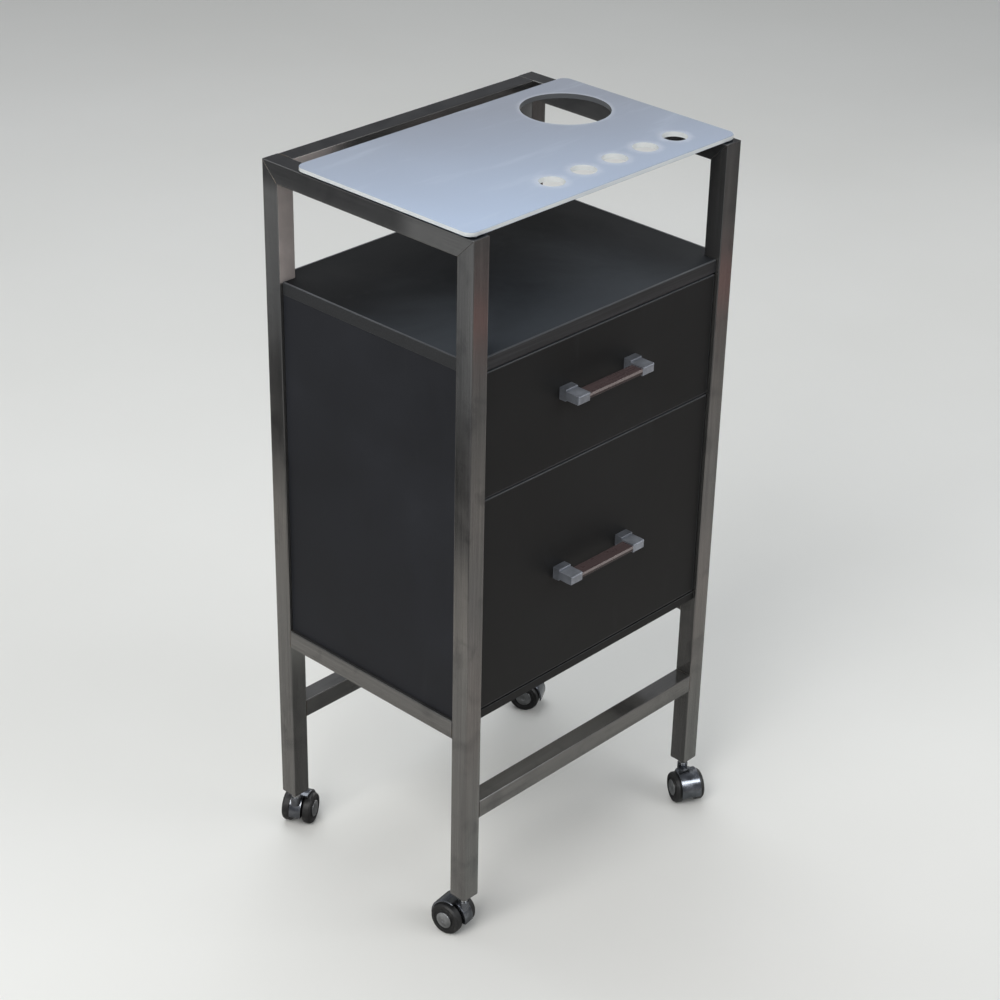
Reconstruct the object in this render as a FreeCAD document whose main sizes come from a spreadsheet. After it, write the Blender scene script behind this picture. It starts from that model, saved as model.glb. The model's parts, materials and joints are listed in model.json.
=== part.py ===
import FreeCAD, Part
import Sketcher
import PartDesign
import os

# Rolling treatment-room trolley: square-tube frame on four twin-wheel swivel
# casters, frosted glass top with one large and five small round cut-outs, and
# a dark two-drawer cabinet hung between the posts.
# Axes: +X right, +Y back, +Z up. Origin: floor level under the middle of the
# rectangle drawn round the four posts. All lengths in mm.

V = FreeCAD.Vector
doc = FreeCAD.newDocument("Trolley")

# ------------------------------------------------------------------ dimensions
DIMS = [
    # frame
    ("frame_width", 454.0), ("frame_depth", 340.0), ("tube_size", 25.0), ("tube_wall", 1.5),
    ("tube_radius", 1.3), ("frame_top", 946.0), ("post_foot", 60.0),
    ("side_rail_top", 319.0), ("low_rail_top", 201.5),
    ("plug_height", 18.0),
    # glass
    ("glass_thick", 6.0), ("pad_thick", 1.0), ("pad_diameter", 10.0), ("glass_inset_side", 0.5),
    ("glass_inset_front", 5.7), ("glass_depth", 278.7), ("glass_corner", 12.0), ("glass_bevel", 0.8),
    ("cup_hole_diameter", 112.0), ("cup_hole_from_left", 366.5), ("cup_hole_from_front", 203.0),
    ("tool_hole_diameter", 31.0), ("tool_hole_from_left", 177.0), ("tool_hole_from_front", 50.5),
    ("tool_hole_pitch", 53.5), ("tool_hole_count", 5.0),
    # cabinet
    ("cabinet_top", 799.0), ("top_panel_thick", 16.0), ("bottom_panel_thick", 12.0), ("panel_thick", 12.0),
    ("side_recess", 4.5), ("front_recess", 5.5), ("post_gap", 0.3),
    # drawers
    ("front_thick", 16.0), ("front_side_gap", 1.5), ("front_gap", 2.75), ("lower_front_bottom", 333.5),
    ("lower_front_height", 284.5), ("upper_front_height", 159.0),
    ("box_outer_from_side", 38.0), ("box_wall", 12.0), ("box_length", 283.5), ("box_floor_thick", 5.0),
    ("floor_groove_depth", 5.0), ("floor_groove_rise", 10.0),
    ("upper_box_rise", 10.0), ("upper_box_height", 128.0), ("lower_box_rise", 10.0), ("lower_box_height", 240.0),
    # runners
    ("runner_rise", 32.0), ("rail_width", 10.0), ("rail_height", 22.0), ("rail_length", 274.0),
    ("channel_wall", 1.5), ("channel_clear", 0.6), ("channel_reach", 20.5), ("channel_length", 276.0),
    # handles
    ("handle_spacing", 113.0), ("handle_offset", -8.7), ("upper_handle_height", 714.5), ("lower_handle_height", 474.3),
    ("bracket_width", 20.0), ("foot_depth", 10.5), ("foot_up", 7.0), ("foot_low", 8.5), ("block_reach", 30.5),
    ("block_up", 4.5), ("block_down", 6.5), ("bar_depth", 17.0), ("bar_up", 2.5), ("bar_down", 4.0),
    ("bar_nose", 29.5), ("bar_socket", 14.0), ("screw_shank", 4.0), ("screw_head", 8.0),
    # casters
    ("wheel_diameter", 42.8), ("wheel_inner", 8.4), ("wheel_outer", 20.0), ("wheel_crown", 1.8),
    ("hub_diameter", 24.0), ("hub_rise", 1.0), ("axle_diameter", 5.0), ("axle_half", 18.6), ("running_gap", 0.05),
    ("trail", 16.1), ("stem_diameter", 8.0), ("collar_diameter", 11.0), ("stem_low", 24.0),
    ("hood_top", 48.5), ("hood_outer", 25.0), ("hood_inner", 22.6), ("hood_half", 14.0), ("web_half", 7.9),
    ("boss_diameter", 14.0), ("hood_cut", 11.5), ("fender_start", 8.0), ("fender_low", 17.0),
    ("turn_front_left", 98.0), ("turn_front_right", 241.5), ("turn_back_left", 27.7), ("turn_back_right", 300.0),
]
sheet = doc.addObject("Spreadsheet::Sheet", "Dims")
for n, (alias, value) in enumerate(DIMS, start=1):
    sheet.set("A%d" % n, alias)
    sheet.set("B%d" % n, str(value))
    sheet.setAlias("B%d" % n, alias)
doc.recompute()


class Q:
    """A size: the expression text bound to the sheet, and its present value."""

    def __init__(self, text, val):
        self.text = text
        self.val = float(val)

    @staticmethod
    def of(x):
        if isinstance(x, Q):
            return x
        return Q("(%s)" % format(float(x), ".6f"), x)

    def __add__(self, o):
        o = Q.of(o)
        return Q("(%s + %s)" % (self.text, o.text), self.val + o.val)

    def __sub__(self, o):
        o = Q.of(o)
        return Q("(%s - %s)" % (self.text, o.text), self.val - o.val)

    def __mul__(self, o):
        o = Q.of(o)
        return Q("(%s * %s)" % (self.text, o.text), self.val * o.val)

    def __truediv__(self, o):
        o = Q.of(o)
        return Q("(%s / %s)" % (self.text, o.text), self.val / o.val)

    def __radd__(self, o):
        return Q.of(o) + self

    def __rsub__(self, o):
        return Q.of(o) - self

    def __rmul__(self, o):
        return Q.of(o) * self

    def __neg__(self):
        return Q.of(0) - self


D = {a: Q("Dims.%s" % a, v) for a, v in DIMS}
zero = Q.of(0)
W, DEP, T = D["frame_width"], D["frame_depth"], D["tube_size"]
HX, HY = W / 2, DEP / 2
WALL = D["tube_wall"]


# --------------------------------------------------------------------- helpers
def bind(obj, prop, q):
    obj.setExpression(prop, Q.of(q).text)


def body(name, x=0, y=0, z=0, turn=None):
    b = doc.addObject("PartDesign::Body", name)
    b.Label = name
    x, y, z = Q.of(x), Q.of(y), Q.of(z)
    rot = FreeCAD.Rotation(V(0, 0, 1), turn.val if turn is not None else 0.0)
    b.Placement = FreeCAD.Placement(V(x.val, y.val, z.val), rot)
    bind(b, "Placement.Base.x", x)
    bind(b, "Placement.Base.y", y)
    bind(b, "Placement.Base.z", z)
    if turn is not None:
        bind(b, "Placement.Rotation.Angle", turn)
    return b


def sketch(b, role, offset=None):
    s = b.newObject("Sketcher::SketchObject", b.Name + "_sketch")
    plane = [f for f in b.Origin.OriginFeatures if f.Role == role][0]
    s.AttachmentSupport = [(plane, "")]
    s.MapMode = "FlatFace"
    if offset is not None:
        offset = Q.of(offset)
        s.AttachmentOffset = FreeCAD.Placement(V(0, 0, offset.val), FreeCAD.Rotation())
        bind(s, "AttachmentOffset.Base.z", offset)
    return s


def fix_point(s, geo, pos, x, y):
    for kind, q in (("DistanceX", Q.of(x)), ("DistanceY", Q.of(y))):
        k = s.addConstraint(Sketcher.Constraint(kind, -1, 1, geo, pos, q.val))
        s.setExpression("Constraints[%d]" % k, q.text)


def poly(s, pts):
    pts = [(Q.of(a), Q.of(c)) for a, c in pts]
    base, n = s.GeometryCount, len(pts)
    for i in range(n):
        a, c = pts[i], pts[(i + 1) % n]
        s.addGeometry(Part.LineSegment(V(a[0].val, a[1].val, 0), V(c[0].val, c[1].val, 0)), False)
    for i in range(n):
        s.addConstraint(Sketcher.Constraint("Coincident", base + i, 2, base + (i + 1) % n, 1))
    for i, (a, c) in enumerate(pts):
        fix_point(s, base + i, 1, a, c)


def rect(s, x0, y0, x1, y1):
    poly(s, [(x0, y0), (x1, y0), (x1, y1), (x0, y1)])


def circle(s, x, y, dia):
    x, y, dia = Q.of(x), Q.of(y), Q.of(dia)
    g = s.addGeometry(Part.Circle(V(x.val, y.val, 0), V(0, 0, 1), dia.val / 2), False)
    fix_point(s, g, 3, x, y)
    k = s.addConstraint(Sketcher.Constraint("Diameter", g, dia.val))
    s.setExpression("Constraints[%d]" % k, dia.text)


def pad(b, s, length, rev=False):
    f = b.newObject("PartDesign::Pad", b.Name + "_pad")
    f.Profile = s
    f.Reversed = rev
    length = Q.of(length)
    f.Length = length.val
    bind(f, "Length", length)
    doc.recompute()
    return f


def pocket(b, s, length=None, rev=False):
    """Removes material; the volume has to drop, otherwise the side is swapped."""
    before = b.Tip.Shape.Volume
    f = b.newObject("PartDesign::Pocket", b.Name + "_pocket")
    f.Profile = s
    f.Reversed = rev
    if length is None:
        f.Type = "ThroughAll"
    else:
        length = Q.of(length)
        f.Length = length.val
        bind(f, "Length", length)
    doc.recompute()
    if f.Shape.isNull() or f.Shape.Volume > before - 1e-3:
        f.Reversed = not rev
        doc.recompute()
    assert f.Shape.Volume < before - 1e-3, b.Label
    return f


def revolve(b, s, axis):
    f = b.newObject("PartDesign::Revolution", b.Name + "_turn")
    f.Profile = s
    f.ReferenceAxis = (s, [axis])
    f.Angle = 360.0
    doc.recompute()
    return f


def edges(shape, test):
    out = []
    for i, e in enumerate(shape.Edges, start=1):
        if len(e.Vertexes) < 1:
            continue
        if test(e):
            out.append("Edge%d" % i)
    return out


def direction(e):
    if not isinstance(e.Curve, Part.Line) and e.Curve.TypeId != "Part::GeomLine":
        return None
    d = e.Vertexes[-1].Point - e.Vertexes[0].Point
    d.normalize()
    return d


def along(e, axis):
    d = direction(e)
    return d is not None and abs(abs(d[axis]) - 1.0) < 1e-6


def round_edges(b, test, size, kind="Fillet"):
    tip = b.Tip
    names = edges(tip.Shape, test)
    assert names, b.Label
    f = b.newObject("PartDesign::" + kind, b.Name + "_" + kind.lower())
    f.Base = (tip, names)
    prop = "Radius" if kind == "Fillet" else "Size"
    size = Q.of(size)
    setattr(f, prop, size.val)
    bind(f, prop, size)
    doc.recompute()
    assert not f.Shape.isNull() and f.Shape.isValid(), b.Label
    return f


def slab(name, x0, y0, z0, x1, y1, z1, bevel=None, bevel_test=None):
    """Plain board between two corners given in trolley coordinates."""
    x0, y0, z0, x1, y1, z1 = [Q.of(q) for q in (x0, y0, z0, x1, y1, z1)]
    b = body(name, x0, y0, z0)
    s = sketch(b, "XY_Plane")
    rect(s, 0, 0, x1 - x0, y1 - y0)
    pad(b, s, z1 - z0)
    if bevel is not None:
        round_edges(b, bevel_test or (lambda e: True), bevel, "Chamfer")
    return b


nodes = {}


def node(name, obj):
    obj.Label = name
    nodes[name] = obj
    return obj


def group(name, parts):
    c = doc.addObject("Part::Compound", name)
    c.Links = parts
    doc.recompute()
    return node(name, c)


# ----------------------------------------------------------------------- frame
def post(name, x, y, back):
    """Square tube; its upper end is mitred to meet the side rail at 45 degrees."""
    b = body(name, x, y, D["post_foot"])
    height = D["frame_top"] - D["post_foot"]
    s = sketch(b, "XY_Plane")
    rect(s, 0, 0, T, T)
    pad(b, s, height)
    round_edges(b, lambda e: along(e, 2), D["tube_radius"])
    s = sketch(b, "XY_Plane")
    rect(s, WALL, WALL, T - WALL, T - WALL)
    pocket(b, s, None, rev=True)
    s = sketch(b, "YZ_Plane")
    if back:
        poly(s, [(T, height), (0, height + 1.0), (0, height - T)])
    else:
        poly(s, [(0, height), (T, height - T), (T, height + 1.0)])
    pocket(b, s, None, rev=True)
    return node(name, b)


post("post_front_left", -HX, -HY, False)
post("post_front_right", HX - T, -HY, False)
post("post_back_left", -HX, HY - T, True)
post("post_back_right", HX - T, HY - T, True)


def rail(name, axis, x, y, top, length, mitred=False):
    """Square tube lying along x or y between two posts; x, y is its low corner."""
    b = body(name, x, y, top - T)
    if axis == "y":
        s = sketch(b, "XZ_Plane")
    else:
        s = sketch(b, "YZ_Plane")
    rect(s, 0, 0, T, T)
    pad(b, s, length, rev=(axis == "y"))
    k = 1 if axis == "y" else 0
    round_edges(b, lambda e: along(e, k), D["tube_radius"])
    s = sketch(b, "XZ_Plane" if axis == "y" else "YZ_Plane")
    rect(s, WALL, WALL, T - WALL, T - WALL)
    pocket(b, s, None, rev=(axis == "x"))
    if mitred:
        s = sketch(b, "YZ_Plane")
        poly(s, [(0, T), (-1, 0), (T, 0)])
        pocket(b, s, None, rev=True)
        s = sketch(b, "YZ_Plane")
        poly(s, [(length, T), (length - T, 0), (length + 1.0, 0)])
        pocket(b, s, None, rev=True)
    return node(name, b)


SPAN_Y = DEP - T * 2
SPAN_X = W - T * 2
rail("rail_top_left", "y", -HX, -HY, D["frame_top"], DEP, mitred=True)
rail("rail_top_right", "y", HX - T, -HY, D["frame_top"], DEP, mitred=True)
rail("rail_top_back", "x", T - HX, HY - T, D["frame_top"], SPAN_X)
rail("rail_side_left", "y", -HX, T - HY, D["side_rail_top"], SPAN_Y)
rail("rail_side_right", "y", HX - T, T - HY, D["side_rail_top"], SPAN_Y)
rail("rail_low_front", "x", T - HX, -HY, D["low_rail_top"], SPAN_X)
rail("rail_low_back", "x", T - HX, HY - T, D["low_rail_top"], SPAN_X)

# centre lines of the four posts
CORNERS = [
    ("front_left", T / 2 - HX, T / 2 - HY, D["turn_front_left"]),
    ("front_right", HX - T / 2, T / 2 - HY, D["turn_front_right"]),
    ("back_left", T / 2 - HX, HY - T / 2, D["turn_back_left"]),
    ("back_right", HX - T / 2, HY - T / 2, D["turn_back_right"]),
]

# plastic plugs pressed into the open lower ends of the posts
plugs = []
INNER = T - WALL * 2
for key, cx, cy, turn in CORNERS:
    b = body("plug_" + key, cx, cy, D["post_foot"])
    s = sketch(b, "XY_Plane")
    rect(s, -(INNER / 2), -(INNER / 2), INNER / 2, INNER / 2)
    pad(b, s, D["plug_height"])
    s = sketch(b, "XY_Plane")
    circle(s, 0, 0, D["stem_diameter"])
    pocket(b, s, None, rev=True)
    plugs.append(b)
group("post_plugs", plugs)

# ----------------------------------------------------------------------- glass
GX0 = D["glass_inset_side"] - HX
GX1 = HX - D["glass_inset_side"]
GY0 = D["glass_inset_front"] - HY
GZ0 = D["frame_top"] + D["pad_thick"]
glass = body("glass_top", GX0, GY0, GZ0)
s = sketch(glass, "XY_Plane")
rect(s, 0, 0, GX1 - GX0, D["glass_depth"])
pad(glass, s, D["glass_thick"])
round_edges(glass, lambda e: along(e, 2), D["glass_corner"])
round_edges(glass, lambda e: e.BoundBox.ZLength < 1e-6, D["glass_bevel"], "Chamfer")
s = sketch(glass, "XY_Plane")
circle(s, D["cup_hole_from_left"] - D["glass_inset_side"], D["cup_hole_from_front"] - D["glass_inset_front"], D["cup_hole_diameter"])
pocket(glass, s, None, rev=True)
s = sketch(glass, "XY_Plane")
circle(s, D["tool_hole_from_left"] - D["glass_inset_side"], D["tool_hole_from_front"] - D["glass_inset_front"], D["tool_hole_diameter"])
first_hole = pocket(glass, s, None, rev=True)
row = glass.newObject("PartDesign::LinearPattern", "tool_hole_row")
row.Originals = [first_hole]
row.Direction = (s, ["H_Axis"])
row.Occurrences = int(D["tool_hole_count"].val)
row.Length = 4 * D["tool_hole_pitch"].val
bind(row, "Length", (D["tool_hole_count"] - 1) * D["tool_hole_pitch"])
glass.Tip = row
doc.recompute()
node("glass_top", glass)

pads = []
for n, (px, py) in enumerate([
    (T / 2 - HX, T / 2 - HY), (HX - T / 2, T / 2 - HY),
    (T / 2 - HX, Q.of(-26.0)), (HX - T / 2, Q.of(-26.0)),
    (T / 2 - HX, Q.of(92.0)), (HX - T / 2, Q.of(92.0)),
]):
    c = doc.addObject("Part::Cylinder", "pad_piece_%d" % n)
    bind(c, "Radius", D["pad_diameter"] / 2)
    bind(c, "Height", D["pad_thick"])
    c.Placement = FreeCAD.Placement(V(px.val, py.val, D["frame_top"].val), FreeCAD.Rotation())
    bind(c, "Placement.Base.x", px)
    bind(c, "Placement.Base.y", py)
    bind(c, "Placement.Base.z", D["frame_top"])
    pads.append(c)
group("glass_pads", pads)

# --------------------------------------------------------------------- cabinet
CX0 = D["side_recess"] - HX
CY0 = D["front_recess"] - HY
NOTCH = T + D["post_gap"]


def notched(name, x0, z0, thick):
    """Horizontal board cut away at its four corners to clear the posts."""
    b = body(name, 0, 0, z0)
    s = sketch(b, "XY_Plane")
    px, py = HX - NOTCH, HY - NOTCH
    ox, oy = -x0, -CY0
    poly(s, [(-px, -oy), (px, -oy), (px, -py), (ox, -py), (ox, py), (px, py),
             (px, oy), (-px, oy), (-px, py), (-ox, py), (-ox, -py), (-px, -py)])
    pad(b, s, thick)
    round_edges(b, lambda e: e.BoundBox.ZLength < 1e-6, 0.5, "Chamfer")
    return node(name, b)


TOP_UNDER = D["cabinet_top"] - D["top_panel_thick"]
BOTTOM_UP = D["side_rail_top"] + D["bottom_panel_thick"]
notched("cabinet_top", CX0, TOP_UNDER, D["top_panel_thick"])
notched("cabinet_bottom", CX0 + D["panel_thick"], D["side_rail_top"], D["bottom_panel_thick"])
PANEL_Y = HY - NOTCH
node("cabinet_side_left", slab("cabinet_side_left", CX0, -PANEL_Y, D["side_rail_top"], CX0 + D["panel_thick"], PANEL_Y, TOP_UNDER))
node("cabinet_side_right", slab("cabinet_side_right", -CX0 - D["panel_thick"], -PANEL_Y, D["side_rail_top"], -CX0, PANEL_Y, TOP_UNDER))
node("cabinet_back", slab("cabinet_back", NOTCH - HX, -CY0 - D["panel_thick"], BOTTOM_UP, HX - NOTCH, -CY0, TOP_UNDER))

# --------------------------------------------------------------------- drawers
FACE = CY0                       # front plane of the drawer fronts
FX = HX - T - D["front_side_gap"]
INSIDE = FACE + D["front_thick"]
BX = HX - D["box_outer_from_side"]
BOX_END = INSIDE + D["box_length"]
LOWER_Z = D["lower_front_bottom"]
UPPER_Z = LOWER_Z + D["lower_front_height"] + 3.0
HC = D["handle_offset"]          # the handles sit a little left of the middle


def runners_fixed(side):
    """Pair of channel rails screwed to the inner face of one side panel."""
    sgn = -1 if side == "left" else 1
    out = []
    for z0 in (LOWER_Z + D["lower_box_rise"], UPPER_Z + D["upper_box_rise"]):
        zc = z0 + D["runner_rise"]
        b = body("channel_%s_%d" % (side, len(out)), 0, NOTCH - HY + 0.5, zc)
        s = sketch(b, "XZ_Plane")
        xin = HX - D["side_recess"] - D["panel_thick"]
        xo = xin - D["channel_reach"]
        hi = D["rail_height"] / 2 + D["channel_clear"]
        ho = hi + D["channel_wall"]
        xw = xin - D["channel_wall"]
        pts = [(xin, -ho), (xin, ho), (xo, ho), (xo, hi), (xw, hi), (xw, -hi), (xo, -hi), (xo, -ho)]
        poly(s, [(x * sgn, z) for x, z in pts])
        pad(b, s, D["channel_length"], rev=True)
        out.append(b)
    return group("runners_" + side, out)


runners_fixed("left")
runners_fixed("right")


def drawer(which, z0, height, rise, box_h, handle_z):
    zb = z0 + rise
    # front with two screw holes
    b = body("drawer_%s_front" % which, -FX, FACE, z0)
    s = sketch(b, "XY_Plane")
    rect(s, 0, 0, FX * 2, D["front_thick"])
    pad(b, s, height)
    round_edges(b, lambda e: e.BoundBox.YMax < 1e-6, 0.6, "Chamfer")
    s = sketch(b, "XZ_Plane")
    for k in (-1, 1):
        circle(s, FX + HC + D["handle_spacing"] / 2 * k, handle_z - z0, D["screw_shank"])
    pocket(b, s, None)
    node("drawer_%s_front" % which, b)
    # sides, grooved for the floor
    for side, sgn in (("left", -1), ("right", 1)):
        name = "drawer_%s_side_%s" % (which, side)
        x0 = -BX if sgn < 0 else BX - D["box_wall"]
        b = body(name, x0, INSIDE, zb)
        s = sketch(b, "XY_Plane")
        rect(s, 0, 0, D["box_wall"], D["box_length"])
        pad(b, s, box_h)
        s = sketch(b, "XZ_Plane")
        g0 = D["box_wall"] - D["floor_groove_depth"] if sgn < 0 else Q.of(0)
        g1 = D["box_wall"] if sgn < 0 else D["floor_groove_depth"]
        rect(s, g0, D["floor_groove_rise"], g1, D["floor_groove_rise"] + D["box_floor_thick"])
        pocket(b, s, None)
        node(name, b)
    ix = BX - D["box_wall"]
    fl0 = zb + D["floor_groove_rise"]
    fl1 = fl0 + D["box_floor_thick"]
    node("drawer_%s_back" % which, slab("drawer_%s_back" % which, -ix, BOX_END - D["box_wall"], fl1, ix, BOX_END, zb + box_h))
    node("drawer_%s_floor" % which, slab("drawer_%s_floor" % which, -ix - D["floor_groove_depth"], INSIDE, fl0, ix + D["floor_groove_depth"], BOX_END, fl1))
    # sliding rails on the outside of the box
    zc = zb + D["runner_rise"]
    pair = []
    for sgn in (-1, 1):
        x0 = -BX - D["rail_width"] if sgn < 0 else BX
        r = slab("rail_%s_%d" % (which, len(pair)), x0, INSIDE + 4.0, zc - D["rail_height"] / 2,
                 x0 + D["rail_width"], INSIDE + 4.0 + D["rail_length"], zc + D["rail_height"] / 2,
                 1.0, lambda e: along(e, 1))
        pair.append(r)
    group("drawer_%s_rails" % which, pair)
    # handle: two brackets, flat bar let into both, two screws from inside
    pair = []
    for k in (-1, 1):
        b = body("bracket_%s_%d" % (which, len(pair)), HC + D["handle_spacing"] / 2 * k - D["bracket_width"] / 2, FACE, handle_z)
        s = sketch(b, "YZ_Plane")
        fd, fu, fl, br = D["foot_depth"], D["foot_up"], D["foot_low"], D["block_reach"]
        poly(s, [(0, -fl), (0, fu), (-fd, fu), (-fd, D["block_up"]), (-br, D["block_up"]), (-br, -D["block_down"]),
                 (-fd, -D["block_down"]), (-fd, -fl)])
        pad(b, s, D["bracket_width"])
        y_front, y_foot, z_foot = -br.val, -fd.val, (fu.val, -fl.val)
        round_edges(b, lambda e: along(e, 0) and abs(e.BoundBox.YMin - y_foot) < 1e-6 and min(abs(e.BoundBox.ZMin - q) for q in z_foot) < 1e-6, 1.6)
        round_edges(b, lambda e: (along(e, 0) or along(e, 2)) and abs(e.BoundBox.YMin - y_front) < 1e-6 and e.BoundBox.YLength < 1e-6, 1.6)
        s = sketch(b, "YZ_Plane", D["bracket_width"] - D["bar_socket"] if k < 0 else Q.of(0))
        rect(s, -D["bar_nose"], -D["bar_down"], D["bar_depth"] - D["bar_nose"], D["bar_up"])
        pocket(b, s, D["bar_socket"], rev=True)
        s = sketch(b, "XZ_Plane")
        circle(s, D["bracket_width"] / 2, 0, D["screw_shank"])
        pocket(b, s, 8.0)
        pair.append(b)
    group("handle_%s_brackets" % which, pair)
    hb = D["handle_spacing"] / 2 - D["bracket_width"] / 2 + D["bar_socket"]
    bar = slab("handle_%s_bar" % which, HC - hb, FACE - D["bar_nose"], handle_z - D["bar_down"],
               HC + hb, FACE - D["bar_nose"] + D["bar_depth"], handle_z + D["bar_up"])
    node("handle_%s_bar" % which, bar)
    pair = []
    for k in (-1, 1):
        b = body("screw_%s_%d" % (which, len(pair)), HC + D["handle_spacing"] / 2 * k, 0, handle_z)
        s = sketch(b, "YZ_Plane")
        r1, r2 = D["screw_shank"] / 2, D["screw_head"] / 2
        tip, seat = FACE - 8.0, INSIDE
        poly(s, [(tip, 0), (tip, r1), (seat, r1), (seat, r2), (seat + 1.6, r2), (seat + 2.6, r2 - 1.4), (seat + 2.6, 0)])
        revolve(b, s, "H_Axis")
        pair.append(b)
    group("handle_%s_screws" % which, pair)


drawer("upper", UPPER_Z, D["upper_front_height"], D["upper_box_rise"], D["upper_box_height"], D["upper_handle_height"])
drawer("lower", LOWER_Z, D["lower_front_height"], D["lower_box_rise"], D["lower_box_height"], D["lower_handle_height"])

# --------------------------------------------------------------------- casters
WR = D["wheel_diameter"] / 2
stems = []
for key, cx, cy, turn in CORNERS:
    b = body("stem_" + key, cx, cy, 0)
    s = sketch(b, "XZ_Plane")
    r, c = D["stem_diameter"] / 2, D["collar_diameter"] / 2
    pf, ht = D["post_foot"], D["hood_top"] + 0.4
    poly(s, [(0, D["stem_low"]), (r, D["stem_low"]), (r, ht), (c, ht), (c, pf), (r, pf), (r, pf + D["plug_height"] - 2.0), (0, pf + D["plug_height"] - 2.0)])
    revolve(b, s, "V_Axis")
    stems.append(b)

    # hood: centre web between the wheels, a narrower curved fender over their
    # inner halves on the top and trailing side, and a boss round the stem.
    # The trail direction is local +X and the axle lies along local Y.
    b = body("caster_%s_hood" % key, cx, cy, 0, turn)
    t, fh, wh = D["trail"], D["hood_half"], D["web_half"]
    s = sketch(b, "XZ_Plane", -fh)
    circle(s, t, WR, D["hood_outer"] * 2)
    pad(b, s, fh * 2)
    r_out, y_out = D["hood_outer"].val, fh.val
    round_edges(b, lambda e: e.Curve.TypeId == "Part::GeomCircle" and abs(e.Curve.Radius - r_out) < 1e-6, 1.2)
    # open the two wheel pockets, leaving the web between them
    for off in (-fh - 1.0, wh):
        s = sketch(b, "XZ_Plane", off)
        circle(s, t, WR, D["hood_inner"] * 2)
        pocket(b, s, fh - wh + 1.0, rev=True)
    # no fender on the stem side, so the treads show there
    for off in (-fh - 1.0, wh):
        s = sketch(b, "XZ_Plane", off)
        rect(s, -30, -10, t - D["fender_start"], 60)
        pocket(b, s, fh - wh + 1.0, rev=True)
    # boss round the stem, standing on the web
    s = sketch(b, "XY_Plane", WR + 14.0)
    circle(s, 0, 0, D["boss_diameter"])
    pad(b, s, D["hood_top"] - WR - 14.0)
    # lower outline of the web and of the fender's trailing edge
    s = sketch(b, "XZ_Plane", -fh - 2.0)
    hc, fl = D["hood_cut"], D["fender_low"]
    poly(s, [(-30, -8), (60, -8), (60, fl), (t + 14.0, fl), (t + 5.0, hc), (t - 8.0, hc), (t - 16.0, fl + 1.0), (-30, fl + 1.0)])
    pocket(b, s, fh * 2 + 4.0, rev=True)
    # bores for the stem (running fit) and the axle (press fit)
    s = sketch(b, "XY_Plane", D["stem_low"] - 0.5)
    circle(s, 0, 0, D["stem_diameter"] + D["running_gap"] * 2)
    pocket(b, s, None, rev=True)
    s = sketch(b, "XZ_Plane")
    circle(s, t, WR, D["axle_diameter"])
    f = b.newObject("PartDesign::Pocket", b.Name + "_axle_bore")
    f.Profile = s
    f.Type = "ThroughAll"
    f.Midplane = True
    doc.recompute()
    node("caster_%s_hood" % key, b)

    b = body("caster_%s_axle" % key, cx, cy, 0, turn)
    s = sketch(b, "XZ_Plane", -D["axle_half"])
    circle(s, D["trail"], WR, D["axle_diameter"])
    pad(b, s, D["axle_half"] * 2)
    round_edges(b, lambda e: e.Curve.TypeId == "Part::GeomCircle", 0.4, "Chamfer")
    node("caster_%s_axle" % key, b)

    # wheels: turned profile with a crowned tread, dished face and raised hub cap
    for hand, sg in (("left", 1), ("right", -1)):
        b = body("caster_%s_wheel_%s" % (key, hand), cx, cy, 0, turn)
        s = sketch(b, "XY_Plane", WR)
        bore = D["axle_diameter"] / 2 + D["running_gap"]
        yi, yo, crown = D["wheel_inner"], D["wheel_outer"], D["wheel_crown"]
        hr, hrise = D["hub_diameter"] / 2, D["hub_rise"]
        end = D["axle_half"] + 0.3
        prof = [(bore, yi), (WR - crown, yi), (WR, yi + crown), (WR, yo - crown * 1.4), (WR - crown * 0.9, yo - 0.2), (WR - 4.2, yo),
                (hr + 1.4, yo - 0.9), (hr, yo - 0.9), (hr - 0.6, yo + hrise * 0.5), (hr - 5.0, yo + hrise), (0, yo + hrise), (0, end), (bore, end)]
        poly(s, [(D["trail"] + rr, yy * sg) for rr, yy in prof])
        # construction line on the axle centre serves as the turning axis
        g = s.addGeometry(Part.LineSegment(V(D["trail"].val, 0, 0), V(D["trail"].val, 30 * sg, 0)), True)
        fix_point(s, g, 1, D["trail"], 0)
        fix_point(s, g, 2, D["trail"], 30 * sg)
        f = b.newObject("PartDesign::Revolution", b.Name + "_turn")
        f.Profile = s
        f.ReferenceAxis = (s, ["Axis0"])
        f.Angle = 360.0
        doc.recompute()
        node("caster_%s_wheel_%s" % (key, hand), b)
group("caster_stems", stems)

# ---------------------------------------------------------------------- export
doc.recompute()
for o in doc.Objects:
    bad = [st for st in o.State if st in ("Invalid", "Error")]
    assert not bad, (o.Label, o.State)
os.makedirs("parts", exist_ok=True)
for name, obj in nodes.items():
    sh = obj.Shape
    assert not sh.isNull() and sh.isValid() and len(sh.Solids) >= 1, name
    sh.exportStep("parts/%s.step" % name)
    bb = sh.BoundBox
    print("%-34s solids %d  x %.1f..%.1f  y %.1f..%.1f  z %.1f..%.1f  vol %.1f" % (
        name, len(sh.Solids), bb.XMin, bb.XMax, bb.YMin, bb.YMax, bb.ZMin, bb.ZMax, sh.Volume / 1000.0))
print("nodes", len(nodes))
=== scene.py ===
import json
import math

import bmesh
import bpy
from mathutils import Matrix, Vector


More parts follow.
